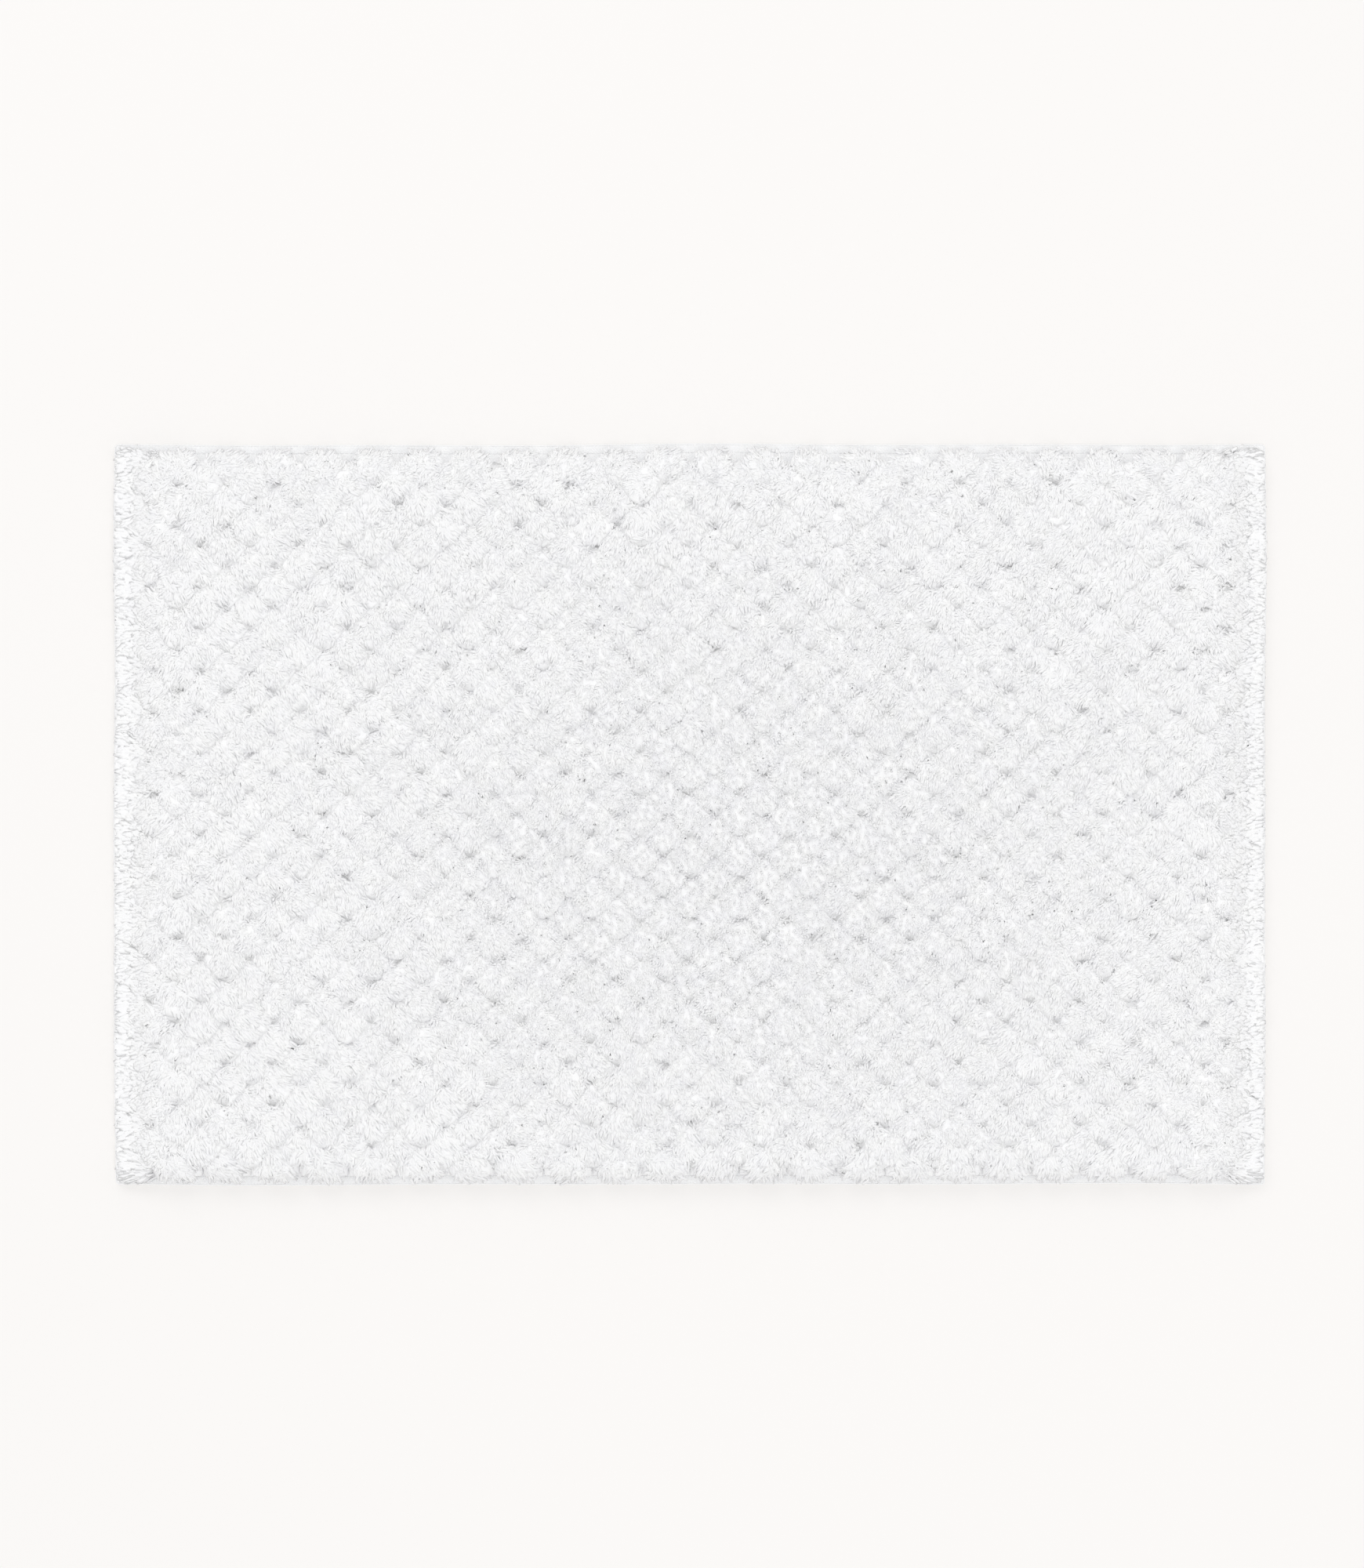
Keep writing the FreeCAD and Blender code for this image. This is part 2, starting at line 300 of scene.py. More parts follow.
def smooth_mesh(name, points, faces, uvs=None):
    """A smooth-shaded mesh object from numpy points and blocks of faces of one size each."""
    mesh = bpy.data.meshes.new(name)
    corners = np.concatenate([block.ravel() for block in faces]).astype(np.int32)
    sizes = np.concatenate([np.full(len(block), block.shape[1]) for block in faces])
    starts = np.concatenate([[0], np.cumsum(sizes)[:-1]]).astype(np.int32)
    mesh.vertices.add(len(points))
    mesh.vertices.foreach_set("co", np.asarray(points, np.float32).ravel())
    mesh.loops.add(len(corners))
    mesh.loops.foreach_set("vertex_index", corners)
    mesh.polygons.add(len(sizes))
    mesh.polygons.foreach_set("loop_start", starts)
    mesh.polygons.foreach_set("use_smooth", np.ones(len(sizes), bool))
    if uvs is not None:
        layer = mesh.uv_layers.new(name=UV_NAME)
        layer.uv.foreach_set("vector", np.asarray(uvs, np.float32).ravel())
    mesh.update(calc_edges=True)
    mesh.validate()
    thing = bpy.data.objects.new(name, mesh)
    bpy.context.scene.collection.objects.link(thing)
    return thing


def ring_stack(points):
    """Closed forms built of rings of points, (forms, rings, sides, 3): points, faces and UVs."""
    count, rings, sides, _ = points.shape
    side = np.arange(sides)
    following = (side + 1) % sides
    lower = np.arange(rings - 1)[:, None] * sides
    upper = lower + sides
    wall = np.stack([lower + side, lower + following, upper + following, upper + side], axis=2)
    caps = np.stack([side[::-1], (rings - 1) * sides + side])
    offset = (np.arange(count) * rings * sides)[:, None, None]
    walls = (wall.reshape(-1, 4)[None] + offset).reshape(-1, 4)
    ends = (caps[None] + offset).reshape(-1, sides)

    # Each form is unrolled: once round it is U and from its first ring to its last is V.
    quads = (rings - 1, sides, 4)
    ring = np.broadcast_to(np.arange(rings - 1)[:, None, None] + np.array([0, 0, 1, 1]), quads)
    across = np.broadcast_to(side[None, :, None] + np.array([0, 1, 1, 0]), quads)
    wall_uv = np.stack([across.reshape(-1) / sides, ring.reshape(-1) / (rings - 1)], axis=1)
    end_uv = np.stack([np.tile(side / sides, 2), np.repeat([0.0, 1.0], sides)], axis=1)
    uvs = [np.broadcast_to(block, (count, *block.shape)) for block in (wall_uv, end_uv)]
    return points.reshape(-1, 3), [walls, ends], uvs


def tubes(centres, girths, sides, rng, flatness=1.0):
    """Many closed tubes. centres is (tubes, rings, 3), girths (tubes, rings).

    flatness is how much of their height the tubes keep, each or all of them.
    """
    along = np.gradient(centres, axis=1)
    along /= np.linalg.norm(along, axis=2, keepdims=True)
    aside = rng.normal(size=(len(centres), 1, 3))
    first = np.cross(along, aside)
    first /= np.linalg.norm(first, axis=2, keepdims=True)
    second = np.cross(along, first)
    turn = (np.arange(sides) * 2 * math.pi / sides)[:, None]
    ring = np.cos(turn) * first[:, :, None, :] + np.sin(turn) * second[:, :, None, :]
    ring[..., 2] *= np.reshape(flatness, (-1, 1, 1))
    return ring_stack(centres[:, :, None, :] + girths[:, :, None, None] * ring)


def one_mesh(name, stacks):
    """One mesh object from several results of ring_stack, each form in its own cell of the UV map."""
    points, faces, uvs = [], [], []
    count = 0
    forms = 0
    for stack_points, stack_faces, stack_uvs in stacks:
        points.append(stack_points)
        faces += [block + count for block in stack_faces]
        count += len(stack_points)
        cell = forms + np.arange(len(stack_uvs[0]))
        corner = np.stack([cell % UV_CELLS, cell // UV_CELLS], axis=1)[:, None, :] + UV_MARGIN
        for block in stack_uvs:
            uvs.append(((corner + (1 - 2 * UV_MARGIN) * block) / UV_CELLS).reshape(-1, 2))
        forms += len(cell)
    return smooth_mesh(name, np.concatenate(points), faces, np.concatenate(uvs))


def slab(name, across, along, top, bottom, place):
    """A closed slab over a grid, between two height functions, put in the mat's frame by place."""
    x, y = np.meshgrid(across, along, indexing="ij")
    upper = place(x, y, top(x, y)).reshape(-1, 3)
    lower = place(x, y, bottom(x, y)).reshape(-1, 3)
    columns, rows = x.shape
    index = np.arange(columns * rows).reshape(columns, rows)
    cell = np.stack([index[:-1, :-1], index[1:, :-1], index[1:, 1:], index[:-1, 1:]], axis=2)
    cell = cell.reshape(-1, 4)
    rim = np.concatenate([index[:-1, 0], index[-1, :-1], index[:0:-1, -1], index[0, :0:-1]])
    after = np.roll(rim, -1)
    size = columns * rows
    wall = np.stack([rim + size, after + size, after, rim], axis=1)
    faces = np.concatenate([cell, cell[:, ::-1] + size, wall])
    return smooth_mesh(name, np.concatenate([upper, lower]), [faces])


# ---------------------------------------------------------------- how the mat lies

def wave(position, rng, lengths):
    """A smooth wander between about -1 and 1: a few sine waves with settled random phases."""
    total = np.zeros_like(position)
    for length in lengths:
        total += np.sin(2 * math.pi * position / length + rng.uniform(0, 2 * math.pi))
    return total / len(lengths)


def round_corners(x, y):
    """The flat pattern's square corners drawn in to quarter circles."""
    over_x = np.maximum(np.abs(x) - (HALF_LENGTH - CORNER_RADIUS), 0)
    over_y = np.maximum(np.abs(y) - (HALF_WIDTH - CORNER_RADIUS), 0)
    longest = np.maximum(over_x, over_y)
    inwards = 1 - np.maximum(longest, TINY) / np.maximum(np.hypot(over_x, over_y), TINY)
    inwards = np.where(np.minimum(over_x, over_y) > 0, inwards, 0)
    return x - np.sign(x) * over_x * inwards, y - np.sign(y) * over_y * inwards


def settle(points):
    """Where the flat pattern's points come to lie: rounded corners and wavering, lifting edges."""
    z = points[..., 2]
    x, y = round_corners(points[..., 0], points[..., 1])
    rng = np.random.RandomState(SEED)
    near_end = np.clip(np.abs(x) / HALF_LENGTH, 0, 1) ** EDGE_SHARPNESS
    near_side = np.clip(np.abs(y) / HALF_WIDTH, 0, 1) ** EDGE_SHARPNESS
    back_wander = wave(x, rng, BACK_WAVES)
    front_wander = wave(x, rng, FRONT_WAVES)
    right_wander = wave(y, rng, RIGHT_WAVES)
    left_wander = wave(y, rng, LEFT_WAVES)
    lift_wave = wave(x + LIFT_SKEW[0] * y, rng, LIFT_WAVES[0])
    lift_wave = lift_wave * wave(y - LIFT_SKEW[1] * x, rng, LIFT_WAVES[1])
    wander_y = np.where(y > 0, back_wander, front_wander) * near_side
    wander_x = np.where(x > 0, right_wander, left_wander) * near_end
    lift = np.clip(lift_wave, 0, 1) * np.maximum(near_end, near_side)
    placed = [x + EDGE_WANDER * wander_x, y + EDGE_WANDER * wander_y, z + EDGE_LIFT * lift]
    return np.stack(placed, axis=-1)


def lay_flat(x, y, z):
    return settle(np.stack([x, y, z], axis=-1))


# ---------------------------------------------------------------- the pile

def lattice():
    """The centres of each row's tufts, worked out from the boxes of the CAD rows."""
    rows = []
    for index in range(PILE_ROWS):
        low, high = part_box(f"pile_row_{index + 1:02d}")
        count = round((high[0] - low[0] - 2 * TUFT_RADIUS) / TUFT_PITCH) + 1
        x = low[0] + TUFT_RADIUS + TUFT_PITCH * np.arange(count)
        y = np.full(count, (low[1] + high[1]) / 2)
        rows.append(np.stack([x, y], axis=1))
    neighbours = np.array([
        (TUFT_PITCH / 2, ROW_PITCH),
        (TUFT_PITCH / 2, -ROW_PITCH),
        (-TUFT_PITCH / 2, ROW_PITCH),
        (-TUFT_PITCH / 2, -ROW_PITCH),
        (TUFT_PITCH, 0),
        (-TUFT_PITCH, 0),
        (0, 2 * ROW_PITCH),
        (0, -2 * ROW_PITCH),
    ])
    return rows, neighbours


def drift(spot, seed, length):
    """A smooth change over the mat between about -1 and 1, the same each time for one seed."""
    rng = np.random.RandomState(SEED + seed)
    total = np.zeros(spot.shape[:-1])
    for share in (1.0, 0.62, 0.41):
        heading = rng.uniform(0, 2 * math.pi)
        distance = spot[..., 0] * math.cos(heading) + spot[..., 1] * math.sin(heading)
        total += np.sin(2 * math.pi * distance / (length * share) + rng.uniform(0, 2 * math.pi))
    return total / 3


def comb_field(centres, rng):
    """How each tuft is brushed: a vector that points the way its tips lie, up to about one long."""
    comb = COMB_SMOOTH * np.stack([drift(centres, seed, COMB_LENGTH) for seed in (1, 2)], axis=1)
    comb[:, 0] -= COMB_INWARD * np.sin(centres[:, 0] / HALF_LENGTH * math.pi / 2)
    comb[:, 1] -= COMB_FORWARD
    comb += COMB_TUFT * rng.normal(size=comb.shape)
    at_side = np.clip((np.abs(centres[:, :1]) - HALF_LENGTH) / SIDE_COMB_BAND + SIDE_COMB_START, 0, 1)
    at_back = np.clip((centres[:, 1] - LAST_Y) / BACK_COMB_BAND + 1, 0, 1)
    comb[:, 1] = comb[:, 1] * (1 - at_back) + COMB_BACK * at_back
    side = np.concatenate([np.sign(centres[:, :1]), np.zeros((len(centres), 1))], axis=1)
    return comb * (1 - at_side) + COMB_SIDE * side * at_side


def standing_field(centres, rng):
    """How upright each tuft's yarn stands, from nought to one."""
    away = (centres - np.array(STANDING_CENTRE)) / np.array(STANDING_SPREAD)
    upright = np.exp(-(away ** 2).sum(axis=1)) + STANDING_CHANCE * rng.normal(size=len(centres))
    return np.clip(upright, 0, 1)


def between(pair, upright):
    """What lies between the values for brushed and for upright pile."""
    return pair[0] + (pair[1] - pair[0]) * upright


def spiral(count, rng, tufts):
    """Points spread evenly over the unit disc for each tuft, each tuft's turned its own way."""
    step = np.arange(count)
    distance = np.sqrt((step + 0.5) / count)
    angle = step * GOLDEN_ANGLE + rng.uniform(0, 2 * math.pi, size=(tufts, 1))
    return np.stack([distance * np.cos(angle), distance * np.sin(angle)], axis=2)


def has_neighbour(centres, neighbours):
    """For each tuft, which of its lattice neighbours stand on the mat."""
    spots = centres[:, None, :] + neighbours[None]
    edge = np.array([HALF_LENGTH, HALF_WIDTH])
    return (np.abs(spots) < edge - FOOT_RADIUS).all(axis=2)


def cell_reach(way, centres, neighbours, present, cap, overlap, short=(0, 0)):
    """How far a tuft spreads along unit directions, (tufts, directions, 2).

    It stops at overlap times half the way to each tuft beside it, at its cap, and at the strip left
    bare along the edges or, by the two values of short, before it.
    """
    reach = np.broadcast_to(cap, way.shape[:2])
    for neighbour, exists in zip(neighbours, present.T):
        ahead = np.maximum(way @ neighbour, TINY)
        halfway = overlap * (neighbour @ neighbour) / 2 / ahead
        reach = np.where(exists[:, None], np.minimum(reach, halfway), reach)
    room = [
        (way[:, :, 0], HALF_LENGTH - SIDE_STRIP - short[0] - centres[:, 0]),
        (-way[:, :, 0], HALF_LENGTH - SIDE_STRIP - short[0] + centres[:, 0]),
        (way[:, :, 1], HALF_WIDTH - BACK_STRIP - short[1] - centres[:, 1]),
        (-way[:, :, 1], HALF_WIDTH - FRONT_STRIP - short[1] + centres[:, 1]),
    ]
    for ahead, distance in room:
        reach = np.minimum(reach, distance[:, None] / np.maximum(ahead, TINY))
    return reach


def laid_down(spot):
    """Nought in the open pile, rising to one at the mat's sides, where the yarn lies flat."""
    share = np.clip((END_BAND - HALF_LENGTH + np.abs(spot[..., 0])) / (END_BAND - END_FLAT), 0, 1)
    return share ** 2 * (3 - 2 * share)


def edge_height(spot):
    """The share of its height that the pile keeps towards the edges."""
    to_long_edge = np.clip(1 - (HALF_WIDTH - np.abs(spot[..., 1])) / SIDE_BAND, 0, 1)
    laid = laid_down(spot)
    slope = SIDE_DROP * (1 - CORNER_KEEPS * laid) * to_long_edge ** SIDE_SLOPE
    return (1 - END_DROP * laid) * (1 - slope)


def from_nearest_pit(x, y):
    """The offset from the pit nearest to each spot, and how far open that pit is."""
    rng = np.random.RandomState(SEED + 9)
    size = (2 * (TUFTS_IN_FULL_ROW + PIT_MARGIN), PILE_ROWS + 2 * PIT_MARGIN)
    opening = rng.uniform(*PIT_OPENING, size=size)
    shift = PIT_SHIFT * rng.normal(size=(2, *size))
    across = 2 * (x - FIRST_X) / TUFT_PITCH
    along = (y - FIRST_Y) / ROW_PITCH
    column = np.floor(across)
    row = np.floor(along)
    # Of the four lattice points around a spot, two opposite ones are tufts and two are pits.
    pit_low = (column + row) % 2 == 1
    left = np.where(pit_low, (across - column) + (along - row) < 1, across - column < along - row)
    pit_column = column + np.where(left, 0, 1)
    pit_row = row + np.where(pit_low == left, 0, 1)
    place = (pit_column.astype(int) + PIT_MARGIN, pit_row.astype(int) + PIT_MARGIN)
    dx = (across - pit_column) * TUFT_PITCH / 2 - shift[0][place]
    dy = (along - pit_row) * ROW_PITCH - shift[1][place]
    return dx, dy, opening[place]


def pile_top(spot):
    """How high the pile stands over each spot of the mat, (..., 2)."""
    across = drift(spot, 3, TOP_WARP_LENGTH[0])
    along = drift(spot, 4, TOP_WARP_LENGTH[1])
    shift = TOP_WARP * np.stack([across, along], axis=-1)
    x = spot[..., 0] + shift[..., 0]
    y = np.clip(spot[..., 1] + shift[..., 1], FIRST_Y, LAST_Y)
    wave_x = np.cos(2 * math.pi * (x - FIRST_X) / TUFT_PITCH)
    wave_y = np.cos(math.pi * (y - FIRST_Y) / ROW_PITCH)
    valley = (1 - wave_x * wave_y) / 2
    dx, dy, opened = from_nearest_pit(x, y)
    out = np.hypot(dx / PIT_SIZE[0], (dy - PIT_BEND * np.abs(dx)) / PIT_SIZE[1])
    pit = np.clip(PIT_SLOPE * (1 - out), 0, 1) ** PIT_ROUNDNESS * opened
    beyond = np.clip(np.abs(spot[..., 1] + shift[..., 1] - y) / POCKET_BAND, 0, 1)
    pit = pit * (1 + POCKET_DEEPENS * beyond)
    dip = (VALLEY_DIP * valley + PIT_DIP * pit) * (1 - laid_down(spot)) ** DIP_FADE
    return CLOTH_TOP + (PILE_HEIGHT - dip) * edge_height(spot)


def tuft_row(index, centres, neighbours):
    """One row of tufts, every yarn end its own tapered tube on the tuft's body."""
    rng = np.random.RandomState(SEED + 100 + index)
    tufts = len(centres)
    present = has_neighbour(centres, neighbours)
    is_end = HALF_LENGTH - np.abs(centres[:, 0]) < END_TUFT_PITCHES * TUFT_PITCH
    crown = CROWN_RADIUS + CROWN_CHANGE * drift(centres, 6, CROWN_CHANGE_LENGTH)[:, None]
    crown = np.where(is_end[:, None], END_TUFT_RADIUS, crown)
    height = TUFT_HEIGHT_SPREAD * rng.normal(size=(tufts, 1))
    if index == 0:
        crown = np.maximum(crown, FRONT_ROW_RADIUS)
    comb = comb_field(centres, rng)
    standing = standing_field(centres, rng)

    around = (centres, neighbours, present)
    body = tuft_bodies(around, crown, height, comb, standing, rng)
    yarn = tuft_yarn(around, crown, height, comb, standing, rng)
    return one_mesh(f"pile_row_{index + 1:02d}_tufts", [body, yarn])


def own_rise(offset, crown, height, comb, spot):
    """How far one tuft's top stands above or below the pile's: its own height and its tilt."""
    tilt = TUFT_TILT * (offset * comb).sum(axis=-1) / crown
    return (height + tilt) * (1 - laid_down(spot))


def tuft_bodies(around, crown, height, comb, standing, rng):
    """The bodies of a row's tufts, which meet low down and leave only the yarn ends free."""
    centres = around[0]
    turn = np.arange(BODY_SIDES) * 2 * math.pi / BODY_SIDES
    way = np.stack([np.cos(turn), np.sin(turn)], axis=1)
    way = np.broadcast_to(way, (len(centres), BODY_SIDES, 2))
    reach = cell_reach(way, *around, crown, BODY_OVERLAP, BODY_INSET)[:, :, None] * way

    deep = between(BODY_DEPTH, standing)[:, None]
    rings = []
    for share, rise in zip(STEM_RADIUS, STEM_HEIGHT):
        spot = centres[:, None, :] + share * reach
        z = CLOTH_TOP + PILE_HEIGHT * rise * edge_height(spot)
        rings.append(np.concatenate([spot, z[..., None]], axis=-1))
    for share in TOP_RADIUS:
        offset = share * reach
        spot = centres[:, None, :] + offset
        z = pile_top(spot) + own_rise(offset, crown, height, comb[:, None, :], spot)
        z -= deep * (1 - BODY_RISES_AT_SIDE * laid_down(spot))
        rings.append(np.concatenate([spot, z[..., None]], axis=-1))
    points = np.stack(rings, axis=1)
    points += BODY_LUMPS * rng.normal(size=points.shape)
    return ring_stack(settle(points))


def tuft_yarn(around, crown, height, comb, standing, rng):
    """The yarn ends of a row's tufts."""
    centres = around[0]
    tufts = len(centres)
    disc = spiral(STRANDS_PER_TUFT, rng, tufts)
    locks = spiral(LOCKS_PER_TUFT, rng, tufts)
    gap = np.linalg.norm(disc[:, :, None, :] - locks[:, None, :, :], axis=3)
    lock = gap.argmin(axis=2)[:, :, None]
    gathered = disc + LOCK_PULL * (np.take_along_axis(locks, lock, axis=1) - disc)
    lock_turn = LOCK_TURN * rng.normal(size=(tufts, LOCKS_PER_TUFT, 2))
    turned = np.take_along_axis(lock_turn, lock, axis=1)
    lock_lift = LOCK_LIFT * rng.normal(size=(tufts, LOCKS_PER_TUFT, 1))
    lifted = np.take_along_axis(lock_lift, lock, axis=1)
    lifted = (1 - STANDING_LOOSENS * standing)[:, None, None] * lifted

    # Where the tips lie, and which way each yarn end runs to its tip.
    out = np.linalg.norm(gathered, axis=2, keepdims=True)
    reach = cell_reach(gathered / out, *around, crown, YARN_OVERLAP)[:, :, None]
    target = gathered * reach
    flat = laid_down(centres)[:, None, None]
    loose = 1 - SIDE_CALMS * flat
    run = comb[:, None, :] + FAN * gathered
    run = run + loose * (turned + STRAND_TURN * rng.normal(size=target.shape))
    size = np.linalg.norm(run, axis=2, keepdims=True)
    at_front = np.clip((FIRST_Y - centres[:, 1]) / ROW_PITCH + 1, 0, 1)[:, None, None]
    upright = standing[:, None, None] * (1 - FRONT_BRUSHES * at_front)
    length = between(STRAND_LENGTH, upright) * (1 + FRONT_LENGTHENS * at_front)
    run = run / size * length * np.clip(size, *STRAND_REACH)
    target = target + loose * TIP_SHIFT * rng.normal(size=target.shape)

    offset = target[:, :, None, :] - run[:, :, None, :] * (1 - STRAND_STEPS)[:, None]
    offset = offset + STRAND_WAVER * rng.normal(size=offset.shape)
    room = np.array([HALF_LENGTH, HALF_WIDTH]) - YARN_RADIUS
    spot = np.clip(centres[:, None, None, :] + offset, -room, room)
    offset = spot - centres[:, None, None, :]
    rough = TIP_LIFT_SPREAD * (1 + STANDING_ROUGHENS * upright)
    tip_lift = lifted + rough * rng.normal(size=lifted.shape)
    lift = between(STRAND_LIFT, upright) * (1 - SIDE_LOWERS_LIFT * (1 - loose))
    z = pile_top(spot) + lift + loose * tip_lift * STRAND_STEPS ** 2
    z += own_rise(offset, crown[:, :, None], height[:, :, None], comb[:, None, None, :], spot)
    z -= SIDE_SINK * laid_down(spot)
    # Over the hems the yarn ends hang down by turns, some of them to the cloth.
    bands = zip((HALF_LENGTH, HALF_WIDTH), DROOP_BAND)
    rim = [1 - (half - np.abs(spot[..., axis])) / band for axis, (half, band) in enumerate(bands)]
    droop = np.clip(DROOP * np.maximum(*rim), 0, 1) * rng.uniform(size=(tufts, STRANDS_PER_TUFT, 1))
    z = CLOTH_TOP + (z - CLOTH_TOP) * (1 - droop)
    z = np.maximum(z, CLOTH_TOP + YARN_RADIUS / 2)

    path = np.concatenate([spot, z[..., None]], axis=-1).reshape(-1, len(STRAND_STEPS), 3)
    girth = between(STRAND_GIRTH, upright) * (1 + SIDE_WIDENS * laid_down(spot))
    girth = girth.reshape(len(path), -1)
    own_girth = 1 + YARN_RADIUS_SPREAD * rng.normal(size=(len(path), 1)).clip(-2, 2)
    flatness = between(STRAND_FLATNESS, standing) * (1 - SIDE_FLATTENS * laid_down(centres))
    flatness = np.repeat(flatness, STRANDS_PER_TUFT)
    return tubes(settle(path), YARN_RADIUS * own_girth * girth, STRAND_SIDES, rng, flatness)


# ---------------------------------------------------------------- cloth, hems, stitches and coat

def inset(x, y):
    """How far a point of the flat pattern stands inside the mat's edge."""
    return np.minimum(HALF_LENGTH - np.abs(x), HALF_WIDTH - np.abs(y))


def grid_lines(half, lines, step):
    """Grid lines across the mat's whole size: close together at both edges, even in between."""
    edge = half - np.array(lines)
    count = int(2 * edge[-1] / step) + 1
    return np.concatenate([-edge, np.linspace(-edge[-1], edge[-1], count)[1:-1], edge[::-1]])


def stitch_groove(x, y):
    """How deep the thread has pulled itself into the cloth, with a pucker at every stitch."""
    pull = np.exp(-((inset(x, y) - STITCH_INSET) / STITCH_GROOVE_WIDTH) ** 2)
    along = np.where(HALF_LENGTH - np.abs(x) < HALF_WIDTH - np.abs(y), y, x)
    pucker = PUCKER_DEPTH * np.cos(2 * math.pi * along / STITCH_PITCH)
    return (STITCH_GROOVE + pucker) * pull


def ripple(x, y):
    """How far the cloth's top stands above or below its mean height."""
    spot = np.stack([x, y], axis=-1)
    return CLOTH_RIPPLE * sum(drift(spot, 7 + k, length) for k, length in enumerate(CLOTH_RIPPLE_LENGTH))


def cloth_top(x, y):
    return CLOTH_TOP + ripple(x, y) - stitch_groove(x, y)


def cloth_bottom(x, y):
    return np.full_like(x, CLOTH_BOTTOM)


def nose(x, y):
    """The half-round fold at the edge: how far its face stands from the middle of the rim."""
    depth = np.clip(inset(x, y) / FOLD_RIM, 0, 1)
    return FOLD_RIM * np.sqrt(np.maximum(1 - (1 - depth) ** 2, NOSE_TIP))


def hem_top(x, y):
    return np.where(inset(x, y) < FOLD_RIM, CLOTH_BOTTOM + nose(x, y), CLOTH_BOTTOM)


def hem_bottom(x, y):
    return CLOTH_BOTTOM - nose(x, y) + stitch_groove(x, y) * (inset(x, y) > FOLD_RIM)


def hem_fold(edge):
    """One hem: the cloth's edge folded round and turned under."""
    low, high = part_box(f"hem_{edge}")
    depth = min(high[0] - low[0], high[1] - low[1])
    inwards = np.append(HEM_LINES, depth)
    if edge in ("front", "back"):
        across = np.linspace(low[0], high[0], int((high[0] - low[0]) / HEM_STEP))
        along = np.sort((HALF_WIDTH - inwards) * (1 if edge == "back" else -1))
    else:
        across = np.sort((HALF_LENGTH - inwards) * (1 if edge == "right" else -1))
        along = grid_lines(HALF_WIDTH, HEM_LINES, HEM_STEP)
    return slab(f"hem_{edge}_fold", across, along, hem_top, hem_bottom, lay_flat)


def hem_stitches(edge):
    """One hem's row of lockstitches, seen on the cloth and on the underside."""
    low, high = (np.array(corner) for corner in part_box(f"hem_thread_{edge}"))
    run = 0 if edge in ("front", "back") else 1
    rng = np.random.RandomState(SEED + 50 + ("front", "back", "left", "right").index(edge))
    count = int((high[run] - low[run]) / STITCH_PITCH) - 1
    first = (low[run] + high[run] - STITCH_PITCH * (count - 1)) / 2
    middle = first + STITCH_PITCH * np.arange(count)
    length = STITCH_LENGTH * (1 + STITCH_LENGTH_SPREAD * rng.normal(size=(count, 1)))
    slant = STITCH_SLANT * (1 + STITCH_SLANT_SPREAD * rng.normal(size=(count, 1)))
    centres = []
    above = (CLOTH_TOP - STITCH_GROOVE / 2, 1, 1)
    below = (STITCH_RADIUS + STITCH_GROOVE / 2, -1, UNDERSIDE_ARCH)
    for face, direction, arch in (above, below):
        points = np.zeros((count, len(STITCH_STEPS), 3))
        points[..., run] = middle[:, None] + length * STITCH_STEPS
        points[..., 1 - run] = (low[1 - run] + high[1 - run]) / 2 + slant * STITCH_STEPS * direction
        points[..., 2] = face + direction * STITCH_ARCH * arch
        centres.append(points)
    path = settle(np.concatenate(centres))
    girth = np.full(path.shape[:2], STITCH_RADIUS)
    return one_mesh(f"hem_{edge}_stitches", [tubes(path, girth, STITCH_SIDES, rng)])


def coat_top(x, y):
    return np.full_like(x, CLOTH_BOTTOM)


def coat_bottom(x, y):
    from_row = (y - FIRST_Y + ROW_PITCH / 2) % ROW_PITCH - ROW_PITCH / 2
    beads = 1 - RIB_BEADS + RIB_BEADS * np.cos(4 * math.pi * x / TUFT_PITCH)
    rib = np.exp(-(from_row / RIB_WIDTH) ** 2) * beads
    return RIB_DEPTH * (1 - rib)


# ---------------------------------------------------------------- materials

def new_material(name, roughness):
    """A node material of one roughness: the material, its node tree and its shader."""
    material = bpy.data.materials.new(name)
    material.use_nodes = True
    shader = material.node_tree.nodes["Principled BSDF"]
    shader.inputs["Roughness"].default_value = roughness
    return material, material.node_tree, shader


def link(tree, source, socket, target, wanted):
    """Link a node's output to another node's input, both by name."""
    tree.links.new(source.outputs[socket], target.inputs[wanted])


def cotton_pile():
    """Soft matt yarn: faint shade changes between tufts, and fibres that run along each end."""
    material, tree, shader = new_material("cotton_pile", 0.95)
    shader.inputs["Sheen Weight"].default_value = 0.25
    shader.inputs["Sheen Roughness"].default_value = 0.6
    shader.inputs["Specular IOR Level"].default_value = 0.15
    place = tree.nodes.new("ShaderNodeTexCoord")
    add_shades(tree, shader, place.outputs["Object"], *PILE_SHADES)
    stretch = tree.nodes.new("ShaderNodeMapping")
    stretch.inputs["Scale"].default_value = (FIBRES[0] * UV_CELLS, FIBRES[1] * UV_CELLS, 1)
    fibre = tree.nodes.new("ShaderNodeTexNoise")
    fibre.inputs["Scale"].default_value = 1
    fibre.inputs["Detail"].default_value = 3
    link(tree, place, "UV", stretch, "Vector")
    link(tree, stretch, "Vector", fibre, "Vector")
    add_bump(tree, shader, fibre.outputs["Fac"], *FIBRE_BUMP)
    return material


def maths(tree, operation, first, second):
    """A Math node on two inputs, each a node's output socket or a plain number."""
    node = tree.nodes.new("ShaderNodeMath")
    node.operation = operation
    for place, value in enumerate((first, second)):
        if isinstance(value, bpy.types.NodeSocket):
            tree.links.new(value, node.inputs[place])
        else:
            node.inputs[place].default_value = value
    return node.outputs[0]


